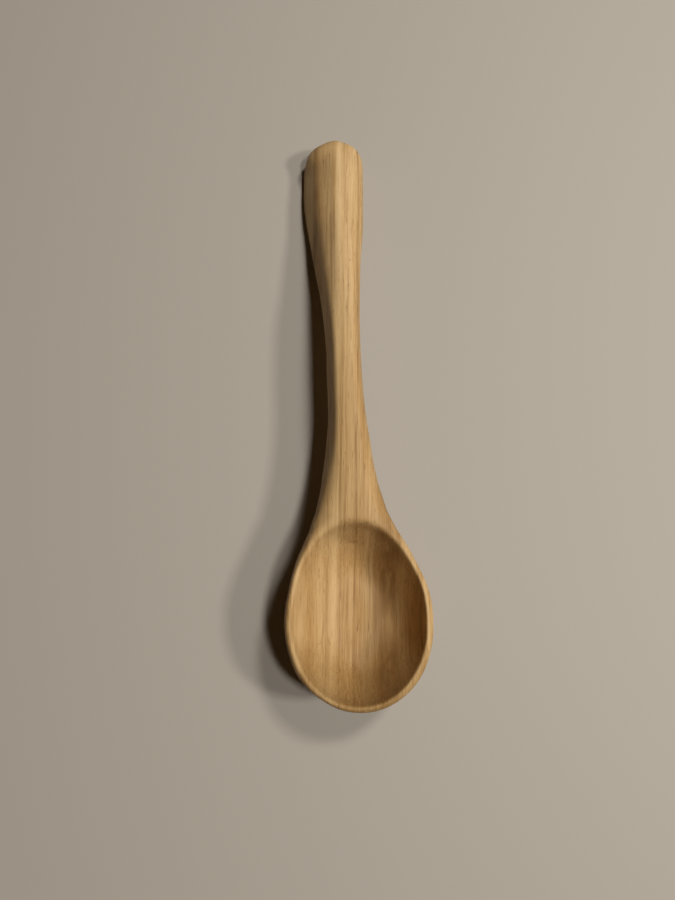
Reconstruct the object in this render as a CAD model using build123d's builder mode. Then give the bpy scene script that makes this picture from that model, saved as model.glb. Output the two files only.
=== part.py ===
"""A plain carved wooden spoon, made as the single piece of wood it is.

Sizes are millimetres. +Z is up, the handle points along +Y and the bowl is at -Y.
The spoon lies as it does on a table: the bowl and the handle end touch z = 0.
"""
import os
from math import cos, radians, sin

from build123d import *

os.makedirs("parts", exist_ok=True)

# ---- driving dimensions: the bowl --------------------------------------------
overall_length = 200.0      # bowl tip to handle end
bowl_width = 46.0           # widest outside width, across the rim
tip_reach = 26.5            # bowl tip to the widest place of the bowl
rim_height = 20.5           # height of the widest line of the bowl above the table
tip_lift = 2.0              # how much higher the rim is at the tip
rim_crown = 1.6             # how far the top of the rim rises above its widest line
rim_width = 2.0             # wood left around the hollow
floor_thickness = 3.4       # wood left under the deepest place of the hollow
hollow_reach = 31.0         # widest place of the hollow to its neck end
rim_edge_round = 0.5        # softening of the inner edge of the rim

# ---- driving dimensions: the handle ------------------------------------------
waist_from_end = 88.0       # handle end to the narrowest place of the handle
waist_width = 11.8
waist_thickness = 13.5
waist_arch = 8.1            # gap between the table and the underside of the waist
grip_from_end = 19.0        # handle end to the widest place of the handle
grip_width = 21.8
grip_thickness = 14.0
end_rounding = 12.5         # length over which the handle end rounds off

# ---- driving dimensions: what is sanded level on the underside ---------------
bowl_flat_depth = 0.3
grip_flat_depth = 0.15

# ---- how full a half of a section is: 0.55 is an ellipse, 1 is a box ---------
oval = 0.55
flat_topped = 0.80
grip_belly = 0.62
widest_share = 0.48         # height of the handle's widest line, as a share of its thickness

# ---- places and sizes that follow from them ----------------------------------
y_tip = -overall_length / 2
y_wide = y_tip + tip_reach
y_end = overall_length / 2
y_waist = y_end - waist_from_end
y_grip = y_end - grip_from_end
bowl_half, waist_half, grip_half = bowl_width / 2, waist_width / 2, grip_width / 2
rim_top = rim_height + rim_crown
waist_top = waist_arch + waist_thickness
waist_middle = waist_arch + waist_thickness * widest_share
grip_middle = grip_thickness * widest_share


def between(first, last, share):
    """The value at the given share of the way from first to last."""
    return first + (last - first) * share


def half_section(y, half_width, top, middle, bottom, shoulder, belly):
    """Draw the right half of the spoon's section at y. Its widest line is at middle."""
    rise, drop = top - middle, middle - bottom
    with BuildSketch(Plane(origin=(0, y, 0), x_dir=(1, 0, 0), z_dir=(0, -1, 0))) as section:
        with BuildLine():
            Bezier((0, bottom), (belly * half_width, bottom),
                   (half_width, middle - oval * drop), (half_width, middle))
            Bezier((half_width, middle), (half_width, middle + oval * rise),
                   (shoulder * half_width, top), (0, top))
            Line((0, top), (0, bottom))
        make_face()
    return section.sketch


# ---- the tip half of the bowl is rounded like an egg --------------------------
# Each turn, in degrees, is one step around the egg from its point to its equator.
sections = [Vertex(0, y_tip, rim_height + tip_lift)]
for turn in (8, 18, 30, 43, 57, 73):
    size, share = sin(radians(turn)), 1 - cos(radians(turn))
    line = between(rim_height + tip_lift, rim_height, share)
    sections.append(half_section(
        y_tip + share * tip_reach, bowl_half * size,
        line + rim_crown * size, line, line - (line + bowl_flat_depth) * size,
        flat_topped, oval))

# ---- the bowl narrows through the neck into the waist -------------------------
# Each row is a place and how far the width, top, widest line and underside have
# changed there, all as shares of the way from the bowl to the waist.
for along, narrowing, top_share, middle_share, bottom_share in (
        (0.00, 0.000, 0.00, 0.00, 0.00),
        (0.09, 0.038, 0.02, 0.02, 0.03),
        (0.19, 0.195, 0.06, 0.08, 0.15),
        (0.30, 0.462, 0.14, 0.22, 0.45),
        (0.43, 0.735, 0.30, 0.44, 0.78),
        (0.58, 0.888, 0.52, 0.66, 0.95),
        (0.78, 0.974, 0.80, 0.86, 1.01),
        (1.00, 1.000, 1.00, 1.00, 1.00)):
    sections.append(half_section(
        between(y_wide, y_waist, along),
        between(bowl_half, waist_half, narrowing),
        between(rim_top, waist_top, top_share),
        between(rim_height, waist_middle, middle_share),
        between(-bowl_flat_depth, waist_arch, bottom_share),
        between(flat_topped, oval, narrowing), oval))

# ---- the waist widens and sinks to the grip -----------------------------------
for along, widening, lowering in (
        (0.20, 0.06, 0.12), (0.42, 0.30, 0.36), (0.63, 0.62, 0.62),
        (0.82, 0.91, 0.84), (1.00, 1.00, 1.00)):
    sections.append(half_section(
        between(y_waist, y_grip, along),
        between(waist_half, grip_half, widening),
        between(waist_top, grip_thickness, lowering),
        between(waist_middle, grip_middle, lowering),
        between(waist_arch, -grip_flat_depth, lowering),
        oval, between(oval, grip_belly, widening)))

# ---- the handle end rounds off, quicker in thickness than in width ------------
for turn in (66, 50, 36, 24, 14, 6):
    size, share = sin(radians(turn)), 1 - cos(radians(turn))
    depth = between(size, 1, 0.45 * size)
    sections.append(half_section(
        y_end - share * end_rounding, grip_half * size,
        between(grip_middle, grip_thickness, depth), grip_middle,
        between(grip_middle, -grip_flat_depth, depth), oval, grip_belly))
sections.append(Vertex(0, y_end, grip_middle))

# ---- the hollow is what a round gouge takes out, turned about a line above the rim
hollow_half = bowl_half - rim_width
hollow_tip = tip_reach - rim_width * 0.9
hollow_depth = rim_top - floor_thickness
gouge_radius = (hollow_half ** 2 + hollow_depth ** 2) / (2 * hollow_depth)
gouge_plane = Plane(origin=(0, y_wide, floor_thickness + gouge_radius),
                    x_dir=(0, 1, 0), z_dir=(1, 0, 0))

with BuildPart() as spoon:
    loft(sections=sections)
    with BuildSketch(gouge_plane) as gouge:
        with BuildLine():
            EllipticalCenterArc((0, 0), hollow_reach, gouge_radius, 0, arc_size=90)
            EllipticalCenterArc((0, 0), hollow_tip, gouge_radius, 90, arc_size=90)
            Line((-hollow_tip, 0), (hollow_reach, 0))
        make_face()
    revolve(axis=Axis(gouge_plane.origin, (0, 1, 0)), mode=Mode.SUBTRACT)
    mirror(about=Plane.YZ)

    # the sharp edge between the hollow and the top of the rim is sanded soft
    hollow_faces = spoon.faces().filter_by(GeomType.REVOLUTION)
    rim_edges = hollow_faces.edges().filter_by(GeomType.BSPLINE)
    fillet(rim_edges, radius=rim_edge_round)

    # the underside is sanded level where it stands on the table
    Box(2 * bowl_width, 2 * overall_length, rim_height,
        align=(Align.CENTER, Align.CENTER, Align.MAX), mode=Mode.SUBTRACT)

spoon.part.label = "spoon"
export_step(spoon.part, "parts/spoon.step")
size = spoon.part.bounding_box().size
print(f"spoon: {size.X:.1f} x {size.Y:.1f} x {size.Z:.1f} mm, {spoon.part.volume / 1000:.1f} cm3")
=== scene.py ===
# %% [markdown]
# # A spoon carved from one piece of wood
# This lesson makes the picture and the visible model of a small wooden spoon: a deep
# egg-shaped bowl, a slim neck and a handle that swells to a blunt, rounded end. The
# real one is cut from a single billet with a saw, shaved with a knife, hollowed with a
# bent gouge, sanded and oiled. There is nothing to put together, so the whole lesson
# is about two things: the small unevenness that a hand leaves, and the wood itself.

# %% Load the frame
from math import radians

import bmesh
import bpy
import numpy as np
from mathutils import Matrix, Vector


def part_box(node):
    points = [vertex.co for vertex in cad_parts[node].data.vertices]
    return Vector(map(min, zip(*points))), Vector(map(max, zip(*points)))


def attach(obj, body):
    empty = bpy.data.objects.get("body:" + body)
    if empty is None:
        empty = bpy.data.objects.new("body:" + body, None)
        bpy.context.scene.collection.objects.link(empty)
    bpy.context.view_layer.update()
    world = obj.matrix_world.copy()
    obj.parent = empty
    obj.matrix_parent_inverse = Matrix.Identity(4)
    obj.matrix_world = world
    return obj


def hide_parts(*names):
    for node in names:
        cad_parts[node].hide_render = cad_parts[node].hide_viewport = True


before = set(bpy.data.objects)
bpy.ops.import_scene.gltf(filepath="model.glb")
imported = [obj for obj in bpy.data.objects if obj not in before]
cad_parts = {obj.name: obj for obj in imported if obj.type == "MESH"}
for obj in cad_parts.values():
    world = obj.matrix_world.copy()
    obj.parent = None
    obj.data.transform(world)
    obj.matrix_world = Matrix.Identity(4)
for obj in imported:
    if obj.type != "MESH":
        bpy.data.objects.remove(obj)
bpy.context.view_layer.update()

MM = 0.001                                   # one millimetre, in Blender's metres

low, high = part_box("spoon")
print("the sawn blank, in mm:", [round(v / MM, 1) for v in high - low])

# %% [markdown]
# ## The viewpoint
# A hand-held camera looks down on the spoon from just over twenty centimetres, a
# little from the bowl's side. A wide lens at that distance makes the bowl look larger
# than the handle, because it stands nearer. The camera comes first, so that every
# later choice can be judged through it.

# %% Camera
camera_data = bpy.data.cameras.new("camera")
camera_data.lens, camera_data.sensor_width = 27.04, 36
camera = bpy.data.objects.new("camera", camera_data)
camera.location = (-0.0051, -0.0595, 0.2342)
camera.rotation_euler = (radians(10.6), 0, radians(-2.2))
bpy.context.scene.collection.objects.link(camera)
bpy.context.scene.camera = camera
print("camera height, in mm:", round(camera.location.z / MM))

# %% [markdown]
# ## Taking the blank to the bench
# The frame holds the spoon as the machine would saw it: perfectly even from left to
# right. Its mesh is made of loose triangles, so a copy is merged first. A voxel
# remesh then gives it one even skin of small faces, which is the closest thing that
# Blender has to a lump of wood: it can be shaved anywhere and it stays closed.

# %% Copy the blank and give it an even skin
BLANK_FACE = 0.6 * MM                        # how wide the blank's small faces are


def even_skin(mesh, face_size):
    """A closed mesh of even faces, face_size across, over the same shape."""
    lump = bpy.data.objects.new("lump", mesh)
    bpy.context.scene.collection.objects.link(lump)
    remesh = lump.modifiers.new("even skin", "REMESH")
    remesh.mode, remesh.voxel_size = "VOXEL", face_size
    depsgraph = bpy.context.evaluated_depsgraph_get()
    skin = bpy.data.meshes.new_from_object(lump.evaluated_get(depsgraph))
    bpy.data.objects.remove(lump)
    return skin


blank = bmesh.new()
blank.from_mesh(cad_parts["spoon"].data)
bmesh.ops.remove_doubles(blank, verts=blank.verts, dist=0.0002 * MM)
merged_mesh = bpy.data.meshes.new("blank")
blank.to_mesh(merged_mesh)
blank.free()
blank_mesh = even_skin(merged_mesh, BLANK_FACE)
print("faces on the blank:", len(blank_mesh.polygons))

# %% Read and write all the points of a mesh at once
def points_of(mesh):
    """Every point of the mesh, in millimetres, one row each."""
    flat = np.empty(3 * len(mesh.vertices))
    mesh.vertices.foreach_get("co", flat)
    return flat.reshape(-1, 3) / MM


def put_points(mesh, points):
    """Moves the points of the mesh to these places, in millimetres."""
    mesh.vertices.foreach_set("co", (points * MM).ravel())
    mesh.update()


def along(y, stations):
    """A value that changes smoothly along the spoon, from (y, value) stations."""
    places, values = zip(*stations)
    step = np.clip(np.searchsorted(places, y, side="right") - 1, 0, len(places) - 2)
    places, values = np.array(places, float), np.array(values, float)
    share = np.clip((y - places[step]) / (places[step + 1] - places[step]), 0, 1)
    share = share * share * (3 - 2 * share)
    return values[step] + (values[step + 1] - values[step]) * share


points = points_of(blank_mesh)
print("points to carve:", len(points))

# %% [markdown]
# ## Shaving the handle
# A knife leaves long flats, and sandpaper only rounds the ridges between them. Looked
# at end on, this handle is not an oval: its left side leans steeply inwards, a broad
# bevel runs from there to a soft ridge near the middle, and the top falls gently to
# the right. Cutting those flats into a mesh with a knife tool would leave sharp edges
# to repair. Here each section is measured, and every point slides along its own ray
# from the middle of the section until it meets the flats. A high power mean picks the
# nearest flat and rounds the ridge between two of them.

# %% Measure the blank's sections along its length
SLICE_STEP, SLICE_REACH = 1.0, 0.75          # from slice to slice, and to each side of one
slice_y = np.arange(low.y / MM + SLICE_STEP / 2, high.y / MM, SLICE_STEP)


def sections(points):
    """The middle and the half size of every point's own section, across and upright."""
    sides = []
    for y in slice_y:
        near = points[abs(points[:, 1] - y) < SLICE_REACH][:, [0, 2]]
        sides.append((near.min(0) + near.max(0), near.max(0) - near.min(0)))
    sides = np.array(sides) / 2
    return [np.stack([np.interp(points[:, 1], slice_y, sides[:, part, way])
                      for way in (0, 1)], 1) for part in (0, 1)]


middle, half = sections(points)
print("sections measured:", len(slice_y))

# %% Shave the flats
# Corners of the section, as shares of its half width and half thickness, going round
# from the widest place on the left, over the top, to the widest place on the right.
GRIP_CORNERS = [(-1.00, -0.78), (-0.53, 0.50), (0.08, 1.06), (0.74, 0.80), (1.00, -0.10),
                (0.62, -0.92), (0.00, -1.03), (-0.66, -0.92)]
WAIST_CORNERS = [(-1.01, -0.30), (-0.56, 0.86), (-0.05, 1.00), (0.66, 0.90), (1.01, 0.00),
                 (0.76, -0.90), (0.00, -1.02), (-0.66, -0.84)]
RIDGE_SHARPNESS = 13                         # the power: higher leaves sharper ridges


def shave(points, share_of_grip, amount):
    """Slides the points of the handle onto flats between the section's corners."""
    ray = (points[:, [0, 2]] - middle) / half
    reach = np.linalg.norm(ray, axis=1)
    ray = ray / np.maximum(reach, 1e-6)[:, None]
    pull = 0
    share = share_of_grip[:, None]
    for here in range(len(GRIP_CORNERS)):
        after = (here + 1) % len(GRIP_CORNERS)
        start = share * GRIP_CORNERS[here] + (1 - share) * np.array(WAIST_CORNERS[here])
        end = share * GRIP_CORNERS[after] + (1 - share) * np.array(WAIST_CORNERS[after])
        across = np.stack([-(end - start)[:, 1], (end - start)[:, 0]], 1)
        across /= np.linalg.norm(across, axis=1)[:, None]
        distance = (across * start).sum(1)
        pull = pull + np.maximum((across * ray).sum(1) / distance, 0) ** RIDGE_SHARPNESS
    shaved = middle + ray * (pull ** (-1 / RIDGE_SHARPNESS))[:, None] * half
    points[:, [0, 2]] += (shaved - points[:, [0, 2]]) * amount[:, None]


y = points[:, 1]
before = points.copy()
shave(points, along(y, [(12, 0), (70, 1), (100, 1)]),
      along(y, [(-52, 0), (-33, 0.6), (-14, 1), (86, 1), (98, 0.3)]))
deepest = np.linalg.norm(points - before, axis=1).max()
print("deepest shaving, in mm:", round(float(deepest), 2))

# %% Bring the handle back to its full width and thickness
# rounding the ridges took a little off both
shaved_middle, shaved_half = sections(points)
on_handle = along(y, [(-52, 0), (-16, 1)])[:, None]
fitted = middle + (points[:, [0, 2]] - shaved_middle) * half / shaved_half
points[:, [0, 2]] += (fitted - points[:, [0, 2]]) * on_handle
print("most put back, in mm:", round(float(abs((half - shaved_half) * on_handle).max()), 2))

# %% [markdown]
# ## The bowl's wall and its rim
# The blank's hollow is even and round. In the real bowl the floor is broader, and the
# right side and the tip stand steeper. The rim isn't flat on top either: on the right
# and at the tip it falls away outwards from a fine ridge along the hollow, and on the
# left it stays nearly level up to a narrow, steep bevel. Those slopes decide how bright
# each stretch of the rim is, so they're worth the few lines that they take.

# %% Find the hollow and its mouth
# The mouth is two half ovals that meet at its widest place, all in millimetres.
MOUTH_HALF, MOUTH_TIP, MOUTH_NECK, MOUTH_Y = 21.0, 24.6, 30.8, -73.5


def place_in_bowl(points):
    """How far each point is outside the mouth of the hollow (below 0 is inside it), its
    share of the way from the deepest place to the mouth, and which way is out."""
    reach = np.where(points[:, 1] < MOUTH_Y, MOUTH_TIP, MOUTH_NECK)
    spread = np.stack([points[:, 0] / MOUTH_HALF, (points[:, 1] - MOUTH_Y) / reach], 1)
    share = np.linalg.norm(spread, axis=1)
    way = spread / np.maximum(share, 1e-6)[:, None]
    steepness = np.hypot(way[:, 0] / MOUTH_HALF, way[:, 1] / reach)
    return (share - 1) / steepness, share, way


def facing_of(mesh, points):
    """Which way the skin faces at every point."""
    put_points(mesh, points)
    flat = np.empty(3 * len(mesh.vertices))
    mesh.vertices.foreach_get("normal", flat)
    return flat.reshape(-1, 3)


facing = facing_of(blank_mesh, points)
_, share, way = place_in_bowl(points)
# what faces inwards or up inside the mouth is hollow, and what faces outwards is outside
facing_out = (facing[:, :2] * way).sum(1)
hollow = np.clip(0.4 - 2 * facing_out, 0, 1) * (facing[:, 2] > -0.05) * (share < 1.04)
outside = np.clip(2 * facing_out, 0, 1)
print("points on the hollow:", int((hollow > 0.5).sum()))

# %% Deepen the sides of the hollow and make the outside a little fuller
MOST_DEEPER, LEAN_IN = 2.9, 1.1              # mm off the hollow, and off the lip's outside

y = points[:, 1].copy()
# deepest two thirds of the way out, on the right and towards the tip
deeper = along(share, [(0.18, 0), (0.64, 1), (0.98, 0)])
deeper *= along(points[:, 0], [(-13, 0.1), (3, 1)]) * along(y, [(-64, 1), (-48, 0.4)])
points[:, 2] -= MOST_DEEPER * hollow * deeper
# fullest near the tip, fading towards the neck and the underside, and leaning in on top
in_bowl = along(y, [(-52, 1), (-38, 0)])
on_left = along(points[:, 0], [(-14, 1), (2, 0)])
lean = along(points[:, 2], [(15.5, 0), (22.5, 1)])
fuller = along(y, [(-100, 1.10), (-91, 1.35), (-82, 0.9), (-66, 0.55), (-50, 0.6)])
fuller *= along(points[:, 2], [(3, 0), (15, 1)])
fuller -= on_left * along(y, [(-99, 0.2), (-96, 0.4), (-86, 0)])
points[:, :2] += (outside * in_bowl * (fuller - LEAN_IN * lean))[:, None] * way
print("most taken off the hollow, in mm:", round(float((MOST_DEEPER * hollow * deeper).max()), 2))

# %% Slope the rim outwards from its ridge
# How much the rim falls for each millimetre outwards: on the right, how much less than
# that on the left, and how much more again where the left side's bevel begins.
FALL, LESS_ON_LEFT, BEVEL_FALL, BEVEL_BEGINS = 1.05, 0.80, 1.7, 1.3
RIDGE_LIFT, RIDGE_ROUNDING = 0.25, 0.15      # mm above the blank's top, and mm squared
RIM_LOWEST = 14                              # nothing below this height is rim

ridge = (middle + half)[:, 1]
beyond = place_in_bowl(points)[0]
fall = ((FALL - LESS_ON_LEFT * on_left) * beyond
        + BEVEL_FALL * on_left * np.maximum(beyond - BEVEL_BEGINS, 0))
too_high = points[:, 2] - (ridge + RIDGE_LIFT - fall)
rim_share = along(y - 7 * on_left, [(-56, 1), (-42, 0)]) * (points[:, 2] > RIM_LOWEST)
points[:, 2] -= rim_share * 0.5 * (too_high + np.sqrt(too_high ** 2 + RIDGE_ROUNDING))
print("most taken off the rim, in mm:", round(float((rim_share * too_high).max()), 2))

# %% Wear a bevel along the left edge, from the rim to the neck
from_edge = points[:, 0] - (middle - half)[:, 0]
worn = (along(from_edge, [(0, 1.7), (2.4, 0)]) * along(points[:, 2], [(11, 0), (15, 1)])
        * along(y, [(-64, 0), (-46, 1), (-36, 1), (-22, 0)]))
points[:, 2] -= worn
print("deepest wear on the left edge, in mm:", round(float(worn.max()), 2))

# %% Flare the neck and blunt the handle's end
# (y, how many times its width) along the middle line, then how far the end leans back
WIDTH_STATIONS = [(-58, 1), (-50, 1.01), (-46, 1.035), (-41, 1.09), (-34, 1.11),
                  (-28, 1.095), (-20, 1.045), (-10, 1), (70, 1), (82, 1.02), (90, 1.03),
                  (94, 1.08), (96, 1.125), (97, 1.10), (98, 1.02), (100, 0.97)]
END_LEAN, END_HEIGHT = 0.75, 9               # mm back, reached at this height

points[:, 0] *= along(points[:, 1], WIDTH_STATIONS)
upright_share = np.clip(points[:, 2] / END_HEIGHT, 0, 1)
points[:, 1] -= END_LEAN * along(points[:, 1], [(88, 0), (99, 1)]) * upright_share
print("handle ends at y, in mm:", round(float(points[:, 1].max()), 1))

# %% [markdown]
# ## What a hand does to a straight line
# Sighted from end to end, the spoon isn't quite straight: the grip leans a little to
# the left and the bowl a little to the right. A few shallow dips and swells, far too
# long to feel as steps, come from sanding. They matter because they bend the
# highlights, and a perfectly even highlight is what gives a computer model away.

# %% Bend the middle line and let the surface waver
# (y, how far to the right) in millimetres
BEND_STATIONS = [(-100, 1.0), (-88, 0.85), (-76, 0.9), (-66, 1.15), (-52, 0.4),
                 (-46, 0.15), (-41, -0.15), (-34, 0), (-15, 0.1), (12, -0.25),
                 (34, -0.45), (56, -1.0), (76, -1.5), (92, -1.0), (97, -0.6), (100, 0.4)]
UNDERSIDE = 3                                # below this height nothing wavers upright
UP_WAVES, LONG_WAVES, LONGEST_WAVES = 0.07, 0.06, 0.05

points[:, 0] += along(points[:, 1].copy(), BEND_STATIONS)
x, y, z = points.T.copy()
points[:, 2] += np.where(z > UNDERSIDE, 1, 0) * UP_WAVES * (
    np.sin(x / 3.1 + y / 6.7) + np.sin(y / 4.3 - x / 5.9 + 1.7))
points[:, 0] += LONG_WAVES * np.sin(y / 5.3 + z / 4.1) + LONGEST_WAVES * np.sin(y / 11.7 + 0.8)
put_points(blank_mesh, points)
print("carved to, in mm:", np.round(points.max(0) - points.min(0), 1))

# %% Give it its last skin and sand it
SPOON_FACE = 0.47 * MM                       # how wide the spoon's last, fine faces are; as fine as fits under 200,000 triangles


def sand(mesh, strokes, where=None):
    """Evens out the ridges between faces, as sandpaper does, everywhere or at some points."""
    skin = bmesh.new()
    skin.from_mesh(mesh)
    skin.verts.ensure_lookup_table()
    worn = skin.verts if where is None else [skin.verts[place] for place in where]
    for _ in range(strokes):
        bmesh.ops.smooth_vert(skin, verts=worn, factor=0.5,
                              use_axis_x=True, use_axis_y=True, use_axis_z=True)
    bmesh.ops.recalc_face_normals(skin, faces=skin.faces)
    for face in skin.faces:
        face.smooth = True
    skin.to_mesh(mesh)
    skin.free()


spoon_mesh = even_skin(blank_mesh, SPOON_FACE)
spoon_mesh.name = "carved_spoon"
sand(spoon_mesh, 3)
spoon = bpy.data.objects.new("carved_spoon", spoon_mesh)
bpy.context.scene.collection.objects.link(spoon)
print("faces on the spoon:", len(spoon_mesh.polygons))

# %% Soften the places that hands and lips touch
THUMB_ENDS = -66                             # the thumb reaches no further down the bowl
THUMB_LOWEST, LIPS_LOWEST = 14, 15           # the heights that each of them reaches down to

# the thumb wears the ridge soft where the hollow meets the neck, most of all on the left
skin_points = points_of(spoon_mesh)
beyond = place_in_bowl(skin_points)[0]
for reach, strokes in ((3.6, 14), (2.6, 14), (1.6, 12)):
    thumbed = ((abs(beyond + 0.4) < reach * along(skin_points[:, 0], [(-12, 1), (12, 0.3)]))
               & (skin_points[:, 1] > THUMB_ENDS) & (skin_points[:, 2] > THUMB_LOWEST))
    sand(spoon_mesh, strokes, np.flatnonzero(thumbed))
    print("points the thumb wears,", reach, "mm to each side:", int(thumbed.sum()))
# the rim's ridge gets a few strokes more, because it touches the lips
skin_points = points_of(spoon_mesh)
beyond = place_in_bowl(skin_points)[0]
at_rim = (abs(beyond - 0.5) < 1.6) & (skin_points[:, 2] > LIPS_LOWEST)
sand(spoon_mesh, 10, np.flatnonzero(at_rim))
print("points on the rim's ridge:", int(at_rim.sum()))

# %% [markdown]
# ## Wood, as a solid
# Paint sits on a surface, but wood goes right through it. So the pattern is worked out
# in three dimensions, from the place of each point in the billet, and the carving
# simply uncovers it: long lines along the handle, the same lines running down through
# the hollow, and short upright strokes where an end is cut across. The layers stand
# nearly upright, and the billet was sawn about three degrees off the handle's line.

# %% Helpers for wiring a finish
class Finish:
    """A node tree being wired: each method adds a node and gives back its socket."""

    def __init__(self, name):
        self.material = bpy.data.materials.new(name)
        self.material.use_nodes = True
        self.nodes = self.material.node_tree.nodes
        self.links = self.material.node_tree.links
        self.shader = self.nodes["Principled BSDF"]

    def put(self, socket, value):
        """Links a socket to another one, or sets it to a number, a colour or a vector."""
        if isinstance(value, bpy.types.NodeSocket):
            self.links.new(value, socket)
        elif value is not None:
            socket.default_value = value

    def place(self, turn=0):
        """The place of a point, in millimetres, turned about the upright by some degrees."""
        where = self.nodes.new("ShaderNodeTexCoord")
        mapping = self.nodes.new("ShaderNodeMapping")
        mapping.inputs["Rotation"].default_value = (0, 0, radians(turn))
        mapping.inputs["Scale"].default_value = (1 / MM, 1 / MM, 1 / MM)
        self.links.new(where.outputs["Object"], mapping.inputs["Vector"])
        return mapping.outputs["Vector"]

    def stretch(self, vector, by, shift=(0, 0, 0)):
        """A vector times another one, then shifted: a small number makes a long pattern."""
        node = self.nodes.new("ShaderNodeMapping")
        self.put(node.inputs["Vector"], vector)
        node.inputs["Scale"].default_value = by
        node.inputs["Location"].default_value = shift
        return node.outputs["Vector"]

    def noise(self, vector, detail=2, roughness=0.5):
        """Soft noise, mostly between 0.25 and 0.75, one lump to a unit of the vector."""
        node = self.nodes.new("ShaderNodeTexNoise")
        self.put(node.inputs["Vector"], vector)
        node.inputs["Scale"].default_value = 1
        node.inputs["Detail"].default_value = detail
        node.inputs["Roughness"].default_value = roughness
        return node.outputs["Fac"]

    def math(self, operation, a, b=None, c=None):
        """A sum on one, two or three values."""
        node = self.nodes.new("ShaderNodeMath")
        node.operation = operation
        for socket, value in zip(node.inputs, (a, b, c)):
            self.put(socket, value)
        return node.outputs[0]

    def fit(self, value, low, high, to_low=0, to_high=1):
        """Turns low to high of a value smoothly into to_low to to_high, and stops there."""
        node = self.nodes.new("ShaderNodeMapRange")
        node.interpolation_type = "SMOOTHSTEP"
        for name, number in (("Value", value), ("From Min", low), ("From Max", high),
                             ("To Min", to_low), ("To Max", to_high)):
            self.put(node.inputs[name], number)
        return node.outputs["Result"]

    def split(self, vector):
        """The three parts of a vector, one by one."""
        node = self.nodes.new("ShaderNodeSeparateXYZ")
        self.put(node.inputs[0], vector)
        return node.outputs[:3]

    def join(self, x, y, z):
        """One vector out of its three parts."""
        node = self.nodes.new("ShaderNodeCombineXYZ")
        for socket, value in zip(node.inputs, (x, y, z)):
            self.put(socket, value)
        return node.outputs[0]

    def mix(self, share, a, b, way="MIX"):
        """Colour a with a share of colour b mixed in, or multiplied in."""
        node = self.nodes.new("ShaderNodeMix")
        node.data_type, node.blend_type = "RGBA", way
        self.put(node.inputs["Factor"], share)
        self.put(node.inputs["A"], a)
        self.put(node.inputs["B"], b)
        return node.outputs["Result"]


wood = Finish("honey wood")
print("nodes to begin with:", len(wood.nodes))

# %% [markdown]
# ## Pale oiled wood
# Fine, even wood like this shows four things at once: broad warm and pale bands a few
# millimetres wide, thin growth lines, much finer fibres, and short dark pores where
# a vessel was cut open. Each is a noise stretched hard along the grain, which gives
# the right character but puts nothing in a chosen place. So the few lines and bands
# that the eye can tell apart are laid in one by one; two brown bands among them are
# painted shade, on the bowl's right wall and the handle's left flank. Oil makes the wood
# warm and only faintly glossy. The neck and the bowl are painted darker, and the bowl's
# tip darker still: that is painted shade, standing in for light that falls off there.

# %% The grain: bands, lines, fibres, pores and flecks
GRAIN_TURN = 2.9                             # degrees between the grain and the handle

board = wood.place(turn=GRAIN_TURN)
across, lengthways, depth = wood.split(board)
wander = wood.noise(wood.stretch(board, (0.05, 0.022, 0.05)), detail=1)
across_true = wood.math("MULTIPLY_ADD", wander, 2.4, across)
layers = wood.join(across_true, lengthways, depth)


def grain(stretch, shift=(0, 0, 0), detail=3, roughness=0.5):
    """Noise in the layers: stretch is lumps per millimetre across, lengthways and deep."""
    return wood.noise(wood.stretch(layers, stretch, shift), detail, roughness)


bands = grain((0.24, 0.004, 0.02), roughness=0.6)
lines = grain((1.15, 0.008, 0.05), shift=(7, 0, 0), detail=4, roughness=0.75)
fibres = grain((2.6, 0.055, 0.45), shift=(3, 0, 0), roughness=0.8)
pores = grain((2.9, 0.15, 1.3), shift=(0, 5, 0), detail=1, roughness=0.6)
flecks = grain((1.5, 0.45, 1.5), shift=(31, 5, 0), detail=0)
print("nodes for the grain:", len(wood.nodes))

# %% The colours of the grain
PALE_HONEY = (0.540, 0.366, 0.174, 1)
WARM_HONEY = (0.442, 0.272, 0.110, 1)
PALE_LINE = (0.64, 0.455, 0.235, 1)
GROWTH_BROWN = (0.265, 0.145, 0.050, 1)
PORE_BROWN = (0.10, 0.045, 0.016, 1)

tone = wood.mix(wood.fit(bands, 0.34, 0.66), PALE_HONEY, WARM_HONEY)
# each noise, where its colour sets in and is full, how strong it gets, and the colour
for noise, sets_in, full, most, colour in (
        (lines, 0.52, 0.74, 0.78, GROWTH_BROWN), (lines, 0.48, 0.28, 0.72, PALE_LINE),
        (fibres, 0.50, 0.72, 0.58, GROWTH_BROWN), (fibres, 0.48, 0.26, 0.48, PALE_LINE),
        (pores, 0.62, 0.78, 0.42, PORE_BROWN), (flecks, 0.845, 0.90, 0.60, PORE_BROWN)):
    tone = wood.mix(wood.fit(noise, sets_in, full, 0, most), tone, colour)
print("nodes with the colours:", len(wood.nodes))

# %% The growth lines and pale bands that can be told apart, and two bands of painted shade
# how far across each one is, half its width, how strong it is, its colour and where
# along the spoon it begins, in millimetres
WHOLE = -120                                 # it begins before the tip of the bowl
FADE_IN = 40                                 # how long one takes to reach full strength
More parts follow.
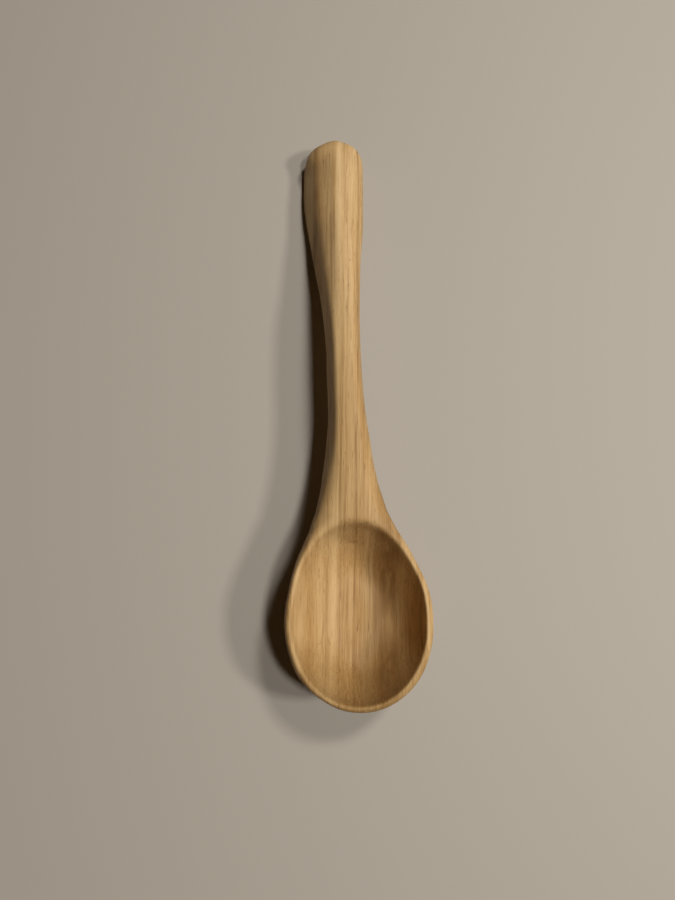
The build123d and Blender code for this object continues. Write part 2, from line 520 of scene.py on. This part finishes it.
# Two of the brown ones are painted shade: the broad band 14 mm across darkens the bowl's right
# wall, where the lamps' light falls away, and the line at -11.7, a growth line made much stronger
# from y = 0 towards the handle's end, darkens the handle's shaded left flank.
STREAKS = [(-14.0, 3.2, 0.65, PALE_LINE, WHOLE), (-11.7, 1.7, 1.00, GROWTH_BROWN, 0),
           (-10.4, 0.6, 0.25, GROWTH_BROWN, WHOLE), (-5.4, 0.5, 0.40, GROWTH_BROWN, WHOLE),
           (-3.4, 1.7, 0.50, PALE_LINE, WHOLE), (-1.3, 0.5, 0.45, GROWTH_BROWN, WHOLE),
           (2.4, 0.7, 0.15, PALE_LINE, WHOLE), (3.6, 0.6, 0.85, GROWTH_BROWN, WHOLE),
           (5.9, 0.4, 0.35, GROWTH_BROWN, WHOLE), (14.0, 5.5, 0.95, GROWTH_BROWN, WHOLE),
           (16.5, 1.3, 0.40, GROWTH_BROWN, WHOLE)]

waver = wood.noise(wood.stretch(board, (0.01, 0.035, 0.01), (0, 40, 0)))
wavering = wood.math("MULTIPLY_ADD", waver, -1.6, wood.math("ADD", across, 0.8))
strength_noise = wood.noise(wood.stretch(board, (0.5, 0.07, 0.2), (11, 0, 0)))
strength = wood.fit(strength_noise, 0.25, 0.70, 0.25, 1.0)
for place, half_width, most, colour, begins in STREAKS:
    off_streak = wood.math("ABSOLUTE", wood.math("SUBTRACT", wavering, place))
    streak = wood.math("MULTIPLY", wood.fit(off_streak, half_width, 0, 0, most), strength)
    streak = wood.math("MULTIPLY", streak, wood.fit(lengthways, begins, begins + FADE_IN))
    tone = wood.mix(streak, tone, colour)
print("streaks laid in:", len(STREAKS))

# %% Painted shade on the neck, the bowl and its tip, gloss and the feel of the grain
NECK_AND_BOWL_SHADE = (0.87, 0.83, 0.75, 1)
TIP_SHADE = (0.80, 0.77, 0.70, 1)
GROOVE_DEPTH = 0.12 * MM

# painted shade: darker from the handle towards the bowl, and darker still at the bowl's tip
tone = wood.mix(wood.fit(lengthways, 60, -20, 0, 0.85), tone, NECK_AND_BOWL_SHADE, "MULTIPLY")
tone = wood.mix(wood.fit(lengthways, -74, -92), tone, TIP_SHADE, "MULTIPLY")
wood.put(wood.shader.inputs["Base Color"], tone)
wood.put(wood.shader.inputs["Roughness"], wood.fit(fibres, 0.3, 0.7, 0.46, 0.62))
wood.shader.inputs["Specular IOR Level"].default_value = 0.22
relief = wood.math("SUBTRACT", wood.math("MULTIPLY_ADD", lines, 0.6, fibres),
                   wood.fit(pores, 0.64, 0.80))
bump = wood.nodes.new("ShaderNodeBump")
bump.inputs["Strength"].default_value = 0.5
bump.inputs["Distance"].default_value = GROOVE_DEPTH
wood.put(bump.inputs["Height"], relief)
wood.put(wood.shader.inputs["Normal"], bump.outputs["Normal"])
spoon_mesh.materials.clear()
spoon_mesh.materials.append(wood.material)
print("nodes in the wood:", len(wood.nodes))

# %% The carved spoon stands for the blank
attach(spoon, "root")
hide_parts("spoon")
print("in place of the blank:", spoon.name)

# %% [markdown]
# ## The table and the light
# The spoon lies on a plain pale, warm grey top. Three soft lamps hang to its right:
# two fairly high, one towards the handle and one towards the bowl, and a third one
# lower and further out. Together they leave the left flank dark and throw three
# overlapping shadows to the left, which tell the eye how high the bowl and the neck
# stand. The room adds a little warm light from all around, and whatever the camera
# sees beyond the table is a plain warm grey.

# %% Table top
PALE_STONE = (0.372, 0.342, 0.296, 1)

table = bmesh.new()
bmesh.ops.create_grid(table, x_segments=1, y_segments=1, size=3)
table_mesh = bpy.data.meshes.new("table_top")
table.to_mesh(table_mesh)
table.free()
table_top = bpy.data.objects.new("table_top", table_mesh)
bpy.context.scene.collection.objects.link(table_top)
stone = Finish("pale stone")
stone.shader.inputs["Base Color"].default_value = PALE_STONE
stone.shader.inputs["Roughness"].default_value = 0.6
stone.shader.inputs["Specular IOR Level"].default_value = 0.2
table_mesh.materials.append(stone.material)
print("table top, in metres:", [round(v, 1) for v in table_top.dimensions])

# %% Lamps
LAMP_COLOUR = (1, 0.97, 0.93)
AIM = Vector((0, -0.02, 0))                  # a little to the bowl's side of the middle


def soft_lamp(name, leans, height, size, power):
    """A square lamp over AIM; leans is how far it hangs to the right and towards the
    handle for each metre up."""
    data = bpy.data.lights.new(name, "AREA")
    data.size, data.energy, data.color = size, power, LAMP_COLOUR
    lamp = bpy.data.objects.new(name, data)
    lamp.location = AIM + Vector((leans[0] * height, leans[1] * height, height))
    lamp.rotation_euler = (AIM - lamp.location).to_track_quat("-Z", "Y").to_euler()
    bpy.context.scene.collection.objects.link(lamp)
    print(name, "hangs at, in metres:", [round(v, 2) for v in lamp.location])


soft_lamp("bowl side lamp", (0.40, -0.17), 0.9, 0.11, 3.8)
soft_lamp("handle side lamp", (0.52, 0.50), 0.9, 0.17, 5.4)
soft_lamp("low lamp", (1.03, -0.18), 0.8, 0.13, 5.7)

# %% Room light and backdrop
ROOM_COLOUR, ROOM_STRENGTH = (1, 0.58, 0.26, 1), 0.042
BACKDROP_COLOUR = (0.30, 0.28, 0.25, 1)

world = bpy.data.worlds.new("room light")
world.use_nodes = True
nodes, links = world.node_tree.nodes, world.node_tree.links
room = nodes["Background"]
room.inputs["Color"].default_value = ROOM_COLOUR
room.inputs["Strength"].default_value = ROOM_STRENGTH
backdrop = nodes.new("ShaderNodeBackground")
backdrop.inputs["Color"].default_value = BACKDROP_COLOUR
seen = nodes.new("ShaderNodeLightPath")
either = nodes.new("ShaderNodeMixShader")
links.new(seen.outputs["Is Camera Ray"], either.inputs[0])
links.new(room.outputs[0], either.inputs[1])
links.new(backdrop.outputs[0], either.inputs[2])
links.new(either.outputs[0], nodes["World Output"].inputs[0])
bpy.context.scene.world = world
bpy.context.scene.view_settings.view_transform = "Standard"
print("nodes in the room light:", len(nodes))
